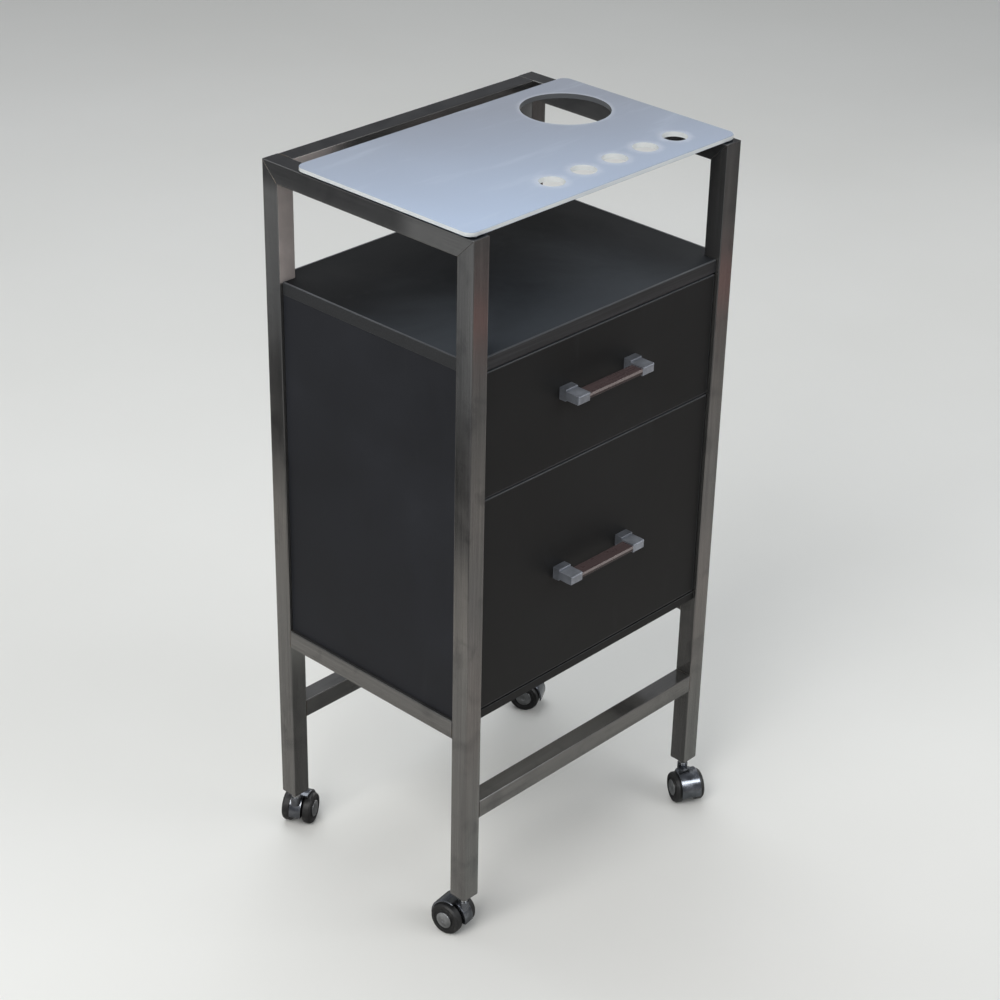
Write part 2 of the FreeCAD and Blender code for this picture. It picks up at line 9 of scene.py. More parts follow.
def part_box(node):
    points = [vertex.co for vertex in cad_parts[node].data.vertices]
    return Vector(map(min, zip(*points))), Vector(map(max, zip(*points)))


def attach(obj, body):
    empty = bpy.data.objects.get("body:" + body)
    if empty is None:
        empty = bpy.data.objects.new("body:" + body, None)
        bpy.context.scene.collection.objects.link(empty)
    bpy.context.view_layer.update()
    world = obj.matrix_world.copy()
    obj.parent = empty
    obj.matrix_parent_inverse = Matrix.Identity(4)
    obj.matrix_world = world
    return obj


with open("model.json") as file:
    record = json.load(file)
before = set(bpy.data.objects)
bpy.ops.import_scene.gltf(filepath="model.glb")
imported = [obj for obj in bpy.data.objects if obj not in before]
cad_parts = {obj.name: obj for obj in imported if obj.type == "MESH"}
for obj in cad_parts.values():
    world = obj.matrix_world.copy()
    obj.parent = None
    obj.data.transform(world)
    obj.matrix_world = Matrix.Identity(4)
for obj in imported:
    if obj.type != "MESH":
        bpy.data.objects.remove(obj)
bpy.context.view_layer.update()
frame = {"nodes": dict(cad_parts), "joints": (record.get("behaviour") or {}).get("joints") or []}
NODES = frame["nodes"]
JOINTS = {j["name"]: j for j in frame["joints"]}


# ---------------------------------------------------------------------------
# node material helper
# ---------------------------------------------------------------------------
class Mat:
    """A node material around one Principled shader."""

    def __init__(self, name):
        self.material = bpy.data.materials.new(name)
        self.material.use_nodes = True
        self.tree = self.material.node_tree
        self.tree.nodes.clear()
        self.out = self.tree.nodes.new("ShaderNodeOutputMaterial")
        self.shader = self.tree.nodes.new("ShaderNodeBsdfPrincipled")
        self.tree.links.new(self.shader.outputs["BSDF"], self.out.inputs["Surface"])

    def new(self, kind, **props):
        n = self.tree.nodes.new(kind)
        for k, v in props.items():
            setattr(n, k, v)
        return n

    def put(self, socket, value):
        if isinstance(value, bpy.types.NodeSocket):
            self.tree.links.new(value, socket)
        elif isinstance(value, (tuple, list)) and len(value) == 3 and len(socket.default_value) == 4:
            socket.default_value = (*value, 1.0)
        else:
            socket.default_value = value

    def set(self, **sockets):
        for k, v in sockets.items():
            self.put(self.shader.inputs[k.replace("_", " ")], v)
        return self

    def coords(self, scale=(1, 1, 1), shift=(0, 0, 0), turn=(0, 0, 0)):
        t = self.new("ShaderNodeTexCoord")
        m = self.new("ShaderNodeMapping")
        self.put(m.inputs["Vector"], t.outputs["Object"])
        m.inputs["Scale"].default_value = scale
        m.inputs["Location"].default_value = shift
        m.inputs["Rotation"].default_value = turn
        return m.outputs["Vector"]

    def axes(self, vector=None):
        s = self.new("ShaderNodeSeparateXYZ")
        self.put(s.inputs[0], vector if vector is not None else self.coords())
        return s.outputs[0], s.outputs[1], s.outputs[2]

    def noise(self, vector, scale=1.0, detail=3.0, rough=0.55, distort=0.0):
        n = self.new("ShaderNodeTexNoise")
        self.put(n.inputs["Vector"], vector)
        n.inputs["Scale"].default_value = scale
        n.inputs["Detail"].default_value = detail
        n.inputs["Roughness"].default_value = rough
        n.inputs["Distortion"].default_value = distort
        return n.outputs["Fac"]

    def cells(self, vector, scale=1.0, feature="F1", random=1.0, out="Distance"):
        n = self.new("ShaderNodeTexVoronoi", feature=feature)
        self.put(n.inputs["Vector"], vector)
        n.inputs["Scale"].default_value = scale
        n.inputs["Randomness"].default_value = random
        return n.outputs[out]

    def fit(self, value, a, b, lo=0.0, hi=1.0, smooth=True):
        n = self.new("ShaderNodeMapRange", interpolation_type="SMOOTHSTEP" if smooth else "LINEAR")
        self.put(n.inputs["Value"], value)
        n.inputs["From Min"].default_value = a
        n.inputs["From Max"].default_value = b
        n.inputs["To Min"].default_value = lo
        n.inputs["To Max"].default_value = hi
        return n.outputs["Result"]

    def math(self, op, a, b=0.0, c=0.0, clamp=False):
        n = self.new("ShaderNodeMath", operation=op, use_clamp=clamp)
        self.put(n.inputs[0], a)
        self.put(n.inputs[1], b)
        self.put(n.inputs[2], c)
        return n.outputs[0]

    def ramp(self, value, *stops):
        n = self.new("ShaderNodeValToRGB")
        self.put(n.inputs["Fac"], value)
        e = n.color_ramp.elements
        while len(e) > 1:
            e.remove(e[-1])
        e[0].position, e[0].color = stops[0][0], (*stops[0][1], 1)
        for p, c in stops[1:]:
            k = e.new(p)
            k.color = (*c, 1)
        return n.outputs["Color"]

    def mix(self, fac, a, b, blend="MIX"):
        n = self.new("ShaderNodeMix", data_type="RGBA", blend_type=blend)
        self.put(n.inputs[0], fac)
        self.put(n.inputs[6], a)
        self.put(n.inputs[7], b)
        return n.outputs[2]

    def bump(self, height, strength, distance, normal=None):
        n = self.new("ShaderNodeBump")
        self.put(n.inputs["Height"], height)
        n.inputs["Strength"].default_value = strength
        n.inputs["Distance"].default_value = distance
        if normal is not None:
            self.put(n.inputs["Normal"], normal)
        return n.outputs["Normal"]

    def edge(self, radius, low=0.02, high=0.30):
        """1 along the part's corners and edges, 0 on its faces."""
        b = self.new("ShaderNodeBevel", samples=6)
        b.inputs["Radius"].default_value = radius
        g = self.new("ShaderNodeNewGeometry")
        d = self.new("ShaderNodeVectorMath", operation="DOT_PRODUCT")
        self.put(d.inputs[0], b.outputs["Normal"])
        self.put(d.inputs[1], g.outputs["Normal"])
        return self.fit(self.math("SUBTRACT", 1.0, d.outputs["Value"]), low, high)

    def facing(self):
        g = self.new("ShaderNodeNewGeometry")
        s = self.new("ShaderNodeSeparateXYZ")
        self.put(s.inputs[0], g.outputs["Normal"])
        return s.outputs[0], s.outputs[1], s.outputs[2]


def srgb(r, g, b):
    def f(v):
        v /= 255.0
        return v / 12.92 if v <= 0.04045 else ((v + 0.055) / 1.055) ** 2.4
    return f(r), f(g), f(b)


# ---------------------------------------------------------------------------
# materials
# ---------------------------------------------------------------------------
def steel(name, axis, dark=0.165, light=0.300, rough=0.12):
    """Polished square tube: drawn lines run along the tube's own axis."""
    m = Mat(name)

    def stretched(across, along, shift=0.0):
        s = [across] * 3
        s[axis] = along
        return m.coords(scale=tuple(s), shift=(shift, shift * 0.7, shift * 1.3))

    broad = m.noise(stretched(44, 1.6), 1.0, 2.0, 0.5)
    lines = m.noise(stretched(620, 5.0, 3.1), 1.0, 2.0, 0.5)
    hair = m.noise(stretched(2600, 22.0, 7.7), 1.0, 1.0, 0.5)
    cloud = m.noise(m.coords(shift=(1.3, 4.1, 0.6)), 9.0, 4.0, 0.6, 0.4)
    tone = m.math("ADD", m.math("MULTIPLY", broad, 0.40), m.math("MULTIPLY", lines, 0.35))
    tone = m.math("ADD", tone, m.math("MULTIPLY", hair, 0.25))
    colour = m.ramp(
        tone,
        (0.34, (dark, dark * 0.985, dark * 0.97)),
        (0.50, ((dark + light) / 2, (dark + light) / 2 * 0.985, (dark + light) / 2 * 0.96)),
        (0.66, (light, light * 0.985, light * 0.955)),
    )
    x, y, z = m.axes()
    fx, fy, fz = m.facing()
    blotch = m.noise(m.coords(shift=(0.4, 0.2, 0.8)), 26.0, 3.0, 0.6, 0.5)
    colour = m.mix(m.fit(blotch, 0.52, 0.74, 0.0, 0.35), colour, (dark * 0.45, dark * 0.46, dark * 0.48))
    # painted dark reflection, by face and place: darker upper faces and a darker back half of the left top rail (dull
    # polish or a dark surround, it is not known which)
    high = m.fit(z, 0.905, 0.930)
    top_painted_dark_reflection = m.math("MULTIPLY", m.math("MULTIPLY", m.fit(fz, 0.75, 0.95), high), 1.0)
    side_painted_dark_reflection = m.math("MULTIPLY", m.fit(m.math("MULTIPLY", fx, -1.0), 0.75, 0.95), m.math("MULTIPLY", high, m.fit(y, -0.085, -0.045, 0.0, 0.70)))
    # mask of the painted dark reflection, a little weaker where the blotches are
    dull = m.math("MULTIPLY", m.math("MAXIMUM", top_painted_dark_reflection, side_painted_dark_reflection), m.fit(blotch, 0.30, 0.60, 1.0, 0.86))
    colour = m.mix(dull, colour, (0.019, 0.0195, 0.022))
    # painted tone: pale milky strip on the inner faces at the back left (a film left on or a reflection, it is not known which)
    pale_painted_reflection = m.math("MULTIPLY", m.fit(m.math("MULTIPLY", fy, -1.0), 0.75, 0.95), m.fit(z, 0.795, 0.801))
    pale_painted_reflection = m.math("MULTIPLY", pale_painted_reflection, m.math("MULTIPLY", m.fit(y, 0.10, 0.12), m.fit(x, -0.190, -0.095, 1.0, 0.0)))
    pale_painted_reflection = m.math("MULTIPLY", pale_painted_reflection, m.fit(blotch, 0.25, 0.60, 1.0, 0.75))
    colour = m.mix(pale_painted_reflection, colour, (0.46, 0.405, 0.385))
    # lighter corners: painted edge highlight with a little wear
    edge_wear_and_highlight = m.edge(0.0012, 0.03, 0.35)
    colour = m.mix(m.math("MULTIPLY", edge_wear_and_highlight, 0.22), colour, (0.60, 0.59, 0.58))
    smudge = m.fit(cloud, 0.42, 0.72)
    r = m.math("ADD", m.math("MULTIPLY", smudge, 0.13), m.math("MULTIPLY", hair, 0.07))
    r = m.math("ADD", r, m.math("MULTIPLY_ADD", pale_painted_reflection, 0.35, rough - 0.04))
    n = m.bump(broad, 0.08, 0.0008)
    n = m.bump(lines, 0.08, 0.0002, n)
    m.set(Base_Color=colour, Roughness=r, Normal=n, Metallic=m.fit(pale_painted_reflection, 0.0, 1.0, 0.86, 0.05, smooth=False))
    return m.material


def charcoal(name, tint=(1.0, 1.0, 1.0), rough=0.52, level=1.0, lift=None, specular=0.28, back=None):
    """Near-black laminate: fine pebble grain, dust in the grain, lighter corners that are partly wear and partly
    painted edge highlight.
    """
    m = Mat(name)
    grain = m.noise(m.coords(), 1500.0, 3.0, 0.6)
    pebble = m.cells(m.coords(), 900.0)
    cloud = m.noise(m.coords(shift=(2.0, 0.4, 1.1)), 5.5, 5.0, 0.62, 0.5)
    rub = m.noise(m.coords(scale=(30, 30, 4), shift=(0.3, 0.9, 0.2)), 1.0, 4.0, 0.65)
    a = tuple(0.0085 * level * t for t in tint)
    b = tuple(0.0125 * level * t for t in tint)
    c = tuple(0.0180 * level * t for t in tint)
    colour = m.ramp(cloud, (0.30, a), (0.55, b), (0.78, c))
    colour = m.mix(m.math("MULTIPLY", m.fit(grain, 0.50, 0.72), 0.30), colour, tuple(0.034 * level * t for t in tint))
    colour = m.mix(m.math("MULTIPLY", m.fit(rub, 0.60, 0.80), 0.16), colour, (0.050, 0.052, 0.057))
    if lift is not None:
        # the top board is made a little paler and bluer towards its front, less so at its right end
        x, y, z = m.axes()
        near = m.fit(m.math("ADD", y, m.math("MULTIPLY", m.math("SUBTRACT", cloud, 0.5), 0.20)), 0.10, -0.16)
        near = m.math("MULTIPLY", near, m.fit(x, 0.06, 0.19, 1.0, 0.25))
        colour = m.mix(m.math("MULTIPLY", near, 0.9), colour, lift)
    # lighter corners: partly wear, partly painted edge highlight
    edge_wear_and_highlight = m.math("MULTIPLY", m.edge(0.0020, 0.02, 0.40), m.fit(rub, 0.25, 0.65, 0.55, 1.0))
    colour = m.mix(m.math("MULTIPLY", edge_wear_and_highlight, 0.60), colour, (0.105, 0.110, 0.118))
    if back is not None:
        # plain backing paper on the face that looks at the floor
        x, y, z = m.facing()
        paper = m.mix(m.fit(grain, 0.4, 0.7), back, tuple(v * 1.15 for v in back))
        colour = m.mix(m.fit(m.math("MULTIPLY", z, -1.0), 0.80, 0.95), colour, paper)
    r = m.math("ADD", m.fit(cloud, 0.25, 0.80, rough - 0.07, rough + 0.09), m.math("MULTIPLY", grain, 0.06))
    n = m.bump(pebble, 0.16, 0.00012)
    n = m.bump(grain, 0.20, 0.00010, n)
    m.set(Base_Color=colour, Roughness=r, Normal=n)
    m.shader.inputs["Specular IOR Level"].default_value = specular
    return m.material


def banding(name):
    """Edge strip on the boards: plain, slightly polished charcoal, with painted highlights on its upward faces and
    along its corner.
    """
    m = Mat(name)
    grain = m.noise(m.coords(), 1300.0, 3.0, 0.6)
    drag = m.noise(m.coords(scale=(8, 500, 500), shift=(0.7, 0.1, 0.4)), 1.0, 3.0, 0.6)
    colour = m.ramp(drag, (0.34, (0.016, 0.017, 0.018)), (0.52, (0.023, 0.024, 0.026)), (0.70, (0.034, 0.035, 0.038)))
    x, y, z = m.facing()
    # painted highlight on the faces that look up
    up = m.fit(z, 0.15, 0.75)
    colour = m.mix(m.math("MULTIPLY", up, m.fit(drag, 0.3, 0.6, 0.65, 0.95)), colour, (0.085, 0.090, 0.097))
    # painted highlight along the corner
    edge = m.edge(0.0007, 0.02, 0.35)
    colour = m.mix(m.math("MULTIPLY", edge, 0.45), colour, (0.115, 0.120, 0.128))
    m.set(Base_Color=colour, Roughness=m.fit(grain, 0.3, 0.7, 0.34, 0.46), Normal=m.bump(grain, 0.10, 0.00006))
    m.shader.inputs["Specular IOR Level"].default_value = 0.45
    return m.material


def weld(name):
    """Dressed weld seam: dull ripples with a faint straw and blue heat tint."""
    m = Mat(name)
    ripple = m.noise(m.coords(scale=(1, 1, 1)), 700.0, 3.0, 0.6, 0.4)
    tint = m.noise(m.coords(shift=(0.2, 0.5, 0.9)), 55.0, 3.0, 0.6)
    colour = m.ramp(tint, (0.34, (0.085, 0.090, 0.105)), (0.50, (0.140, 0.132, 0.122)), (0.66, (0.200, 0.165, 0.125)))
    m.set(Base_Color=colour, Metallic=1.0, Roughness=m.fit(ripple, 0.3, 0.7, 0.30, 0.50), Normal=m.bump(ripple, 0.30, 0.0002))
    return m.material


def glass(name):
    """Etched glass: cloudy pale blue face with painted light towards the front left, ground rims, polished edges with a
    painted highlight, and painted shade inside the big hole.
    """
    m = Mat(name)
    x, y, z = m.axes()
    # row of five tool holes
    first, pitch, row = TOOL_X0, TOOL_PITCH, TOOL_Y
    u = m.math("DIVIDE", m.math("SUBTRACT", x, first), pitch)
    k = m.math("MINIMUM", m.math("MAXIMUM", m.math("ROUND", u), 0.0), 4.0)
    dx = m.math("MULTIPLY", m.math("SUBTRACT", u, k), pitch)
    dy = m.math("SUBTRACT", y, row)
    d = m.math("SQRT", m.math("ADD", m.math("MULTIPLY", dx, dx), m.math("MULTIPLY", dy, dy)))
    ragged = m.noise(m.coords(shift=(0.9, 0.3, 0.0)), 85.0, 3.0, 0.6)
    small = m.fit(m.math("ADD", d, m.math("MULTIPLY", m.math("SUBTRACT", ragged, 0.5), 0.010)), 0.0150, 0.0265, 1.0, 0.0)
    ex = m.math("SUBTRACT", x, CUP_X)
    ey = m.math("SUBTRACT", y, CUP_Y)
    e = m.math("SQRT", m.math("ADD", m.math("MULTIPLY", ex, ex), m.math("MULTIPLY", ey, ey)))
    big = m.fit(e, 0.0560, 0.0625, 1.0, 0.0)
    etch = m.noise(m.coords(), 2400.0, 2.0, 0.6)
    cloud = m.noise(m.coords(shift=(0.4, 2.2, 0.1)), 4.2, 4.0, 0.6, 0.4)
    wipe = m.noise(m.coords(scale=(7, 38, 20), turn=(0, 0, 0.45)), 1.0, 4.0, 0.6, 0.3)
    # painted light: the face is paler and bluer towards the front left
    painted_light_slope = m.math("ADD", m.math("MULTIPLY", x, -0.45), m.math("MULTIPLY", y, -0.90))
    painted_light_slope = m.fit(m.math("ADD", painted_light_slope, m.math("MULTIPLY", m.math("SUBTRACT", cloud, 0.5), 0.08)), -0.12, 0.23, smooth=False)
    colour = m.mix(painted_light_slope, srgb(138, 144, 157), srgb(171, 187, 211))
    colour = m.mix(m.math("MULTIPLY", m.fit(wipe, 0.52, 0.78), 0.16), colour, srgb(205, 216, 228))
    colour = m.mix(m.math("MULTIPLY", m.fit(etch, 0.50, 0.75), 0.10), colour, srgb(225, 232, 240))
    rim = m.math("MAXIMUM", m.math("MULTIPLY", small, 0.34), m.math("MULTIPLY", big, 0.24))
    rim = m.math("MULTIPLY", rim, m.fit(cloud, 0.30, 0.65, 0.7, 1.0))
    colour = m.mix(rim, colour, srgb(222, 224, 230))
    # corners: polished (lower roughness below) with a painted highlight
    corner = m.edge(0.0012, 0.02, 0.30)
    colour = m.mix(m.math("MULTIPLY", corner, 0.55), colour, srgb(226, 236, 238))
    fx, fy, fz = m.facing()
    # painted highlight on the side walls of the glass
    wall = m.fit(m.math("ABSOLUTE", fz), 0.30, 0.60, 1.0, 0.0)
    colour = m.mix(m.math("MULTIPLY", wall, m.fit(wipe, 0.3, 0.6, 0.75, 0.95)), colour, srgb(228, 231, 230))
    # painted shade on the wall inside the big hole
    inside = m.math("MULTIPLY", wall, m.fit(e, 0.0566, 0.0572, 1.0, 0.0))
    colour = m.mix(m.math("MULTIPLY", inside, 0.92), colour, srgb(58, 62, 68))
    r = m.math("ADD", m.fit(cloud, 0.3, 0.7, 0.34, 0.44), m.math("MULTIPLY", etch, 0.10))
    r = m.math("SUBTRACT", r, m.math("MULTIPLY", corner, 0.20))
    n = m.bump(etch, 0.12, 0.00008)
    m.set(Base_Color=colour, Roughness=r, Normal=n)
    m.shader.inputs["IOR"].default_value = 1.5
    m.shader.inputs["Transmission Weight"].default_value = 0.10
    m.shader.inputs["Subsurface Weight"].default_value = 0.0
    m.shader.inputs["Coat Weight"].default_value = 0.12
    m.shader.inputs["Coat Roughness"].default_value = 0.22
    return m.material


def melamine(name):
    """Pale warm-grey drawer board with a fine linen print."""
    m = Mat(name)
    a = m.noise(m.coords(scale=(900, 90, 900)), 1.0, 2.0, 0.5)
    b = m.noise(m.coords(scale=(90, 900, 90)), 1.0, 2.0, 0.5)
    cloud = m.noise(m.coords(), 8.0, 4.0, 0.6)
    weave = m.math("ADD", m.math("MULTIPLY", a, 0.5), m.math("MULTIPLY", b, 0.5))
    tones = (srgb(60, 61, 64), srgb(74, 75, 78), srgb(92, 93, 95))
    colour = m.ramp(weave, (0.38, tones[0]), (0.5, tones[1]), (0.64, tones[2]))
    colour = m.mix(m.math("MULTIPLY", m.fit(cloud, 0.4, 0.7), 0.25), colour, tones[0])
    edge = m.edge(0.001, 0.02, 0.30)
    colour = m.mix(m.math("MULTIPLY", edge, 0.5), colour, srgb(120, 121, 122))
    m.set(Base_Color=colour, Roughness=m.fit(cloud, 0.3, 0.7, 0.44, 0.58), Normal=m.bump(weave, 0.15, 0.00012))
    return m.material


def zinc(name, base=(0.42, 0.43, 0.44), rough=0.33):
    """Zinc plate: spangle patches, faint rolling lines."""
    m = Mat(name)
    patch = m.cells(m.coords(), 260.0, out="Color")
    s = m.new("ShaderNodeSeparateXYZ")
    m.put(s.inputs[0], patch)
    lines = m.noise(m.coords(scale=(1600, 12, 1600)), 1.0, 2.0, 0.5)
    cloud = m.noise(m.coords(), 30.0, 4.0, 0.6)
    tone = m.math("ADD", m.math("MULTIPLY", s.outputs[0], 0.35), m.math("MULTIPLY", cloud, 0.65))
    lo = tuple(v * 0.72 for v in base)
    hi = tuple(min(1.0, v * 1.30) for v in base)
    colour = m.ramp(tone, (0.25, lo), (0.5, base), (0.8, hi))
    edge = m.edge(0.0006, 0.02, 0.30)
    colour = m.mix(m.math("MULTIPLY", edge, 0.5), colour, (0.72, 0.72, 0.70))
    m.set(
        Base_Color=colour, Metallic=1.0,
        Roughness=m.fit(cloud, 0.3, 0.7, rough - 0.06, rough + 0.10),
        Normal=m.bump(lines, 0.10, 0.0001),
    )
    return m.material


def satin(name, base=(0.315, 0.335, 0.375), rough=0.36):
    """Satin nickel casting: fine blasted grain, brighter corners that are partly rubbed and partly painted highlight.
    """
    m = Mat(name)
    grain = m.noise(m.coords(), 2600.0, 2.0, 0.6)
    cloud = m.noise(m.coords(), 60.0, 4.0, 0.6)
    lo = tuple(v * 0.72 for v in base)
    hi = tuple(min(1.0, v * 1.30) for v in base)
    colour = m.ramp(m.math("ADD", m.math("MULTIPLY", grain, 0.35), m.math("MULTIPLY", cloud, 0.65)), (0.35, lo), (0.5, base), (0.66, hi))
    x, y, z = m.axes()
    fx, fy, fz = m.facing()
    # painted shade on the foot and on the faces that look left
    foot = m.fit(y, -0.1790, -0.1735)
    shade = m.math("MAXIMUM", m.math("MULTIPLY", foot, 0.50), m.fit(m.math("MULTIPLY", fx, -1.0), 0.7, 0.95, 0.0, 0.42))
    colour = m.mix(shade, colour, (0.040, 0.044, 0.054))
    # brighter corners: partly rubbed, partly painted highlight, weaker on the shaded foot
    edge = m.edge(0.0012, 0.02, 0.35)
    colour = m.mix(m.math("MULTIPLY", m.math("MULTIPLY", edge, 0.60), m.fit(foot, 0.0, 1.0, 1.0, 0.35)), colour, (0.46, 0.48, 0.53))
    m.set(
        Base_Color=colour,
        Roughness=m.math("ADD", m.fit(cloud, 0.3, 0.7, rough - 0.05, rough + 0.08), m.math("MULTIPLY", grain, 0.06)),
        Normal=m.bump(grain, 0.15, 0.00006),
    )
    m.shader.inputs["Metallic"].default_value = 0.55
    return m.material


def brown_bar(name):
    """Dark reddish-brown lacquered grip bar, with a painted highlight on the upper half of its front face, painted
    shade on the lower half and a painted highlight on its top front edge.
    """
    m = Mat(name)
    streak = m.noise(m.coords(scale=(14, 900, 900)), 1.0, 3.0, 0.6, 0.3)
    fleck = m.noise(m.coords(scale=(60, 2200, 2200), shift=(0.2, 0, 0)), 1.0, 2.0, 0.5)
    cloud = m.noise(m.coords(), 70.0, 3.0, 0.6)
    colour = m.ramp(
        m.math("ADD", m.math("MULTIPLY", streak, 0.7), m.math("MULTIPLY", fleck, 0.3)),
        (0.34, srgb(82, 68, 68)), (0.5, srgb(92, 77, 77)), (0.66, srgb(103, 87, 86)),
    )
    x, y, z = m.facing()
    # painted highlight on the upper half of the front face, painted shade on the lower half
    px, py, pz = m.axes()
    centre = m.math("MULTIPLY_ADD", m.math("GREATER_THAN", pz, 0.6), 0.7145 - 0.4743, 0.4743)
    upper_painted_highlight = m.fit(m.math("SUBTRACT", pz, centre), -0.0016, -0.0002)
    front = m.fit(m.math("MULTIPLY", y, -1.0), 0.80, 0.98)
    colour = m.mix(m.math("MULTIPLY", front, 0.85), colour, m.mix(upper_painted_highlight, srgb(46, 35, 36), srgb(146, 136, 134)))
    # painted highlight on the rounded top front edge
    arris_painted_highlight = m.math("MULTIPLY", m.fit(m.math("MULTIPLY", y, -1.0), 0.20, 0.50), m.fit(z, 0.20, 0.50))
    colour = m.mix(m.math("MULTIPLY", arris_painted_highlight, m.fit(cloud, 0.25, 0.6, 0.75, 0.95)), colour, srgb(176, 168, 166))
    m.set(
        Base_Color=colour,
        Roughness=m.fit(cloud, 0.3, 0.7, 0.24, 0.36),
        Normal=m.bump(streak, 0.10, 0.0001),
    )
    m.shader.inputs["Metallic"].default_value = 0.25
    m.shader.inputs["Coat Weight"].default_value = 0.3
    m.shader.inputs["Coat Roughness"].default_value = 0.15
    return m.material


def gunmetal(name, base=(0.165, 0.175, 0.195), rough=0.17):
    """Dark chrome shell: soft pitting, lighter rubbed rims."""
    m = Mat(name)
    cloud = m.noise(m.coords(), 45.0, 4.0, 0.62, 0.3)
    pit = m.noise(m.coords(shift=(3, 1, 2)), 900.0, 3.0, 0.6)
    lo = tuple(v * 0.55 for v in base)
    hi = tuple(min(1.0, v * 1.55) for v in base)
    colour = m.ramp(cloud, (0.32, lo), (0.5, base), (0.70, hi))
    edge = m.edge(0.0012, 0.02, 0.35)
    colour = m.mix(m.math("MULTIPLY", edge, 0.55), colour, (0.58, 0.585, 0.60))
    m.set(
        Base_Color=colour, Metallic=1.0,
        Roughness=m.math("ADD", m.fit(cloud, 0.3, 0.7, rough - 0.06, rough + 0.12), m.math("MULTIPLY", pit, 0.05)),
        Normal=m.bump(pit, 0.10, 0.00008),
    )
    return m.material


def rubber(name, base=0.012):
    """Black moulded wheel: matt, dusty, with a fine scuffed grain."""
    m = Mat(name)
    grain = m.noise(m.coords(), 1800.0, 3.0, 0.6)
    dust = m.noise(m.coords(shift=(5, 2, 1)), 120.0, 5.0, 0.65)
    colour = m.ramp(dust, (0.35, (base * 0.7,) * 3), (0.55, (base, base, base * 1.05)), (0.75, (base * 3.2, base * 3.1, base * 2.9)))
    edge = m.edge(0.0010, 0.02, 0.35)
    colour = m.mix(m.math("MULTIPLY", edge, 0.35), colour, (0.09, 0.09, 0.092))
    m.set(
        Base_Color=colour,
        Roughness=m.math("ADD", m.fit(dust, 0.3, 0.7, 0.38, 0.55), m.math("MULTIPLY", grain, 0.08)),
        Normal=m.bump(grain, 0.18, 0.0001),
    )
    return m.material


def plastic(name, base, rough=0.4, grain_scale=1600.0):
    m = Mat(name)
    grain = m.noise(m.coords(), grain_scale, 3.0, 0.6)
    cloud = m.noise(m.coords(), 90.0, 4.0, 0.6)
    lo = tuple(v * 0.75 for v in base)
    hi = tuple(min(1.0, v * 1.30) for v in base)
    colour = m.ramp(m.math("ADD", m.math("MULTIPLY", grain, 0.4), m.math("MULTIPLY", cloud, 0.6)), (0.35, lo), (0.5, base), (0.68, hi))
    edge = m.edge(0.0008, 0.02, 0.35)
    colour = m.mix(m.math("MULTIPLY", edge, 0.35), colour, tuple(min(1.0, v * 2.0 + 0.05) for v in base))
    m.set(Base_Color=colour, Roughness=m.fit(cloud, 0.3, 0.7, rough - 0.06, rough + 0.10), Normal=m.bump(grain, 0.12, 0.00008))
    return m.material


lo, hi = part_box("glass_top")
TOOL_X0, TOOL_PITCH, TOOL_Y = -0.227 + 0.177, 0.0535, -0.170 + 0.0505
CUP_X, CUP_Y = -0.227 + 0.3665, -0.170 + 0.203

STEEL = {k: steel("steel_along_" + "xyz"[k], k) for k in range(3)}
BOARD = charcoal("charcoal_laminate", level=0.80)
BOARD_TOP = charcoal("charcoal_laminate_top", tint=(0.96, 1.02, 1.12), rough=0.62, level=0.62, lift=(0.056, 0.064, 0.074), specular=0.13)
# the side panels get a paler, bluer copy of the same laminate: painted light
BOARD_SIDE_PAINTED_LIGHT = charcoal("charcoal_laminate_side", tint=(0.90, 0.98, 1.26), level=1.25)
GLASS = glass("etched_glass")
LINEN = melamine("drawer_melamine")
ZINC = zinc("zinc_plate")
BRIGHT = zinc("bright_fastener", base=(0.55, 0.55, 0.54), rough=0.24)
SATIN = satin("satin_nickel")
BROWN = brown_bar("brown_grip")
GUN = gunmetal("dark_chrome")
RUBBER = rubber("wheel_rubber")
BLACK = plastic("black_moulding", (0.016, 0.016, 0.017))
CLEAR = plastic("clear_bumper", (0.42, 0.44, 0.45), rough=0.25)
CAP = gunmetal("grey_hub_cap", base=(0.34, 0.35, 0.36), rough=0.36)
BAND = banding("edge_banding")
WELD = weld("weld_seam")

BOARD_BOTTOM = charcoal("charcoal_laminate_pale_back", level=0.80, back=(0.36, 0.355, 0.345))

for name, node in NODES.items():
    if name == "cabinet_bottom":
        material = BOARD_BOTTOM
    elif name.startswith("post_plugs"):
        material = BLACK
    elif name.startswith("post_"):
        material = STEEL[2]
    elif name in ("rail_top_left", "rail_top_right", "rail_side_left", "rail_side_right"):
        material = STEEL[1]
    elif name.startswith("rail_"):
        material = STEEL[0]
    elif name == "glass_top":
        material = GLASS
    elif name == "glass_pads":
        material = CLEAR
    elif name == "cabinet_top":
        material = BOARD_TOP
    elif name.startswith("cabinet_side_"):
        material = BOARD_SIDE_PAINTED_LIGHT
    elif name.startswith("cabinet_") or name in ("drawer_upper_front", "drawer_lower_front"):
        material = BOARD
    elif name.endswith("_rails") or name.startswith("runners_"):
        material = ZINC
    elif name.startswith("drawer_"):
        material = LINEN
    elif name.endswith("_brackets"):
        material = SATIN
    elif name.endswith("_bar"):
        material = BROWN
    elif name.endswith("_hood"):
        material = GUN
    elif "_wheel_" in name:
        material = RUBBER
    else:
        material = BRIGHT
    node.data.materials.clear()
    node.data.materials.append(material)


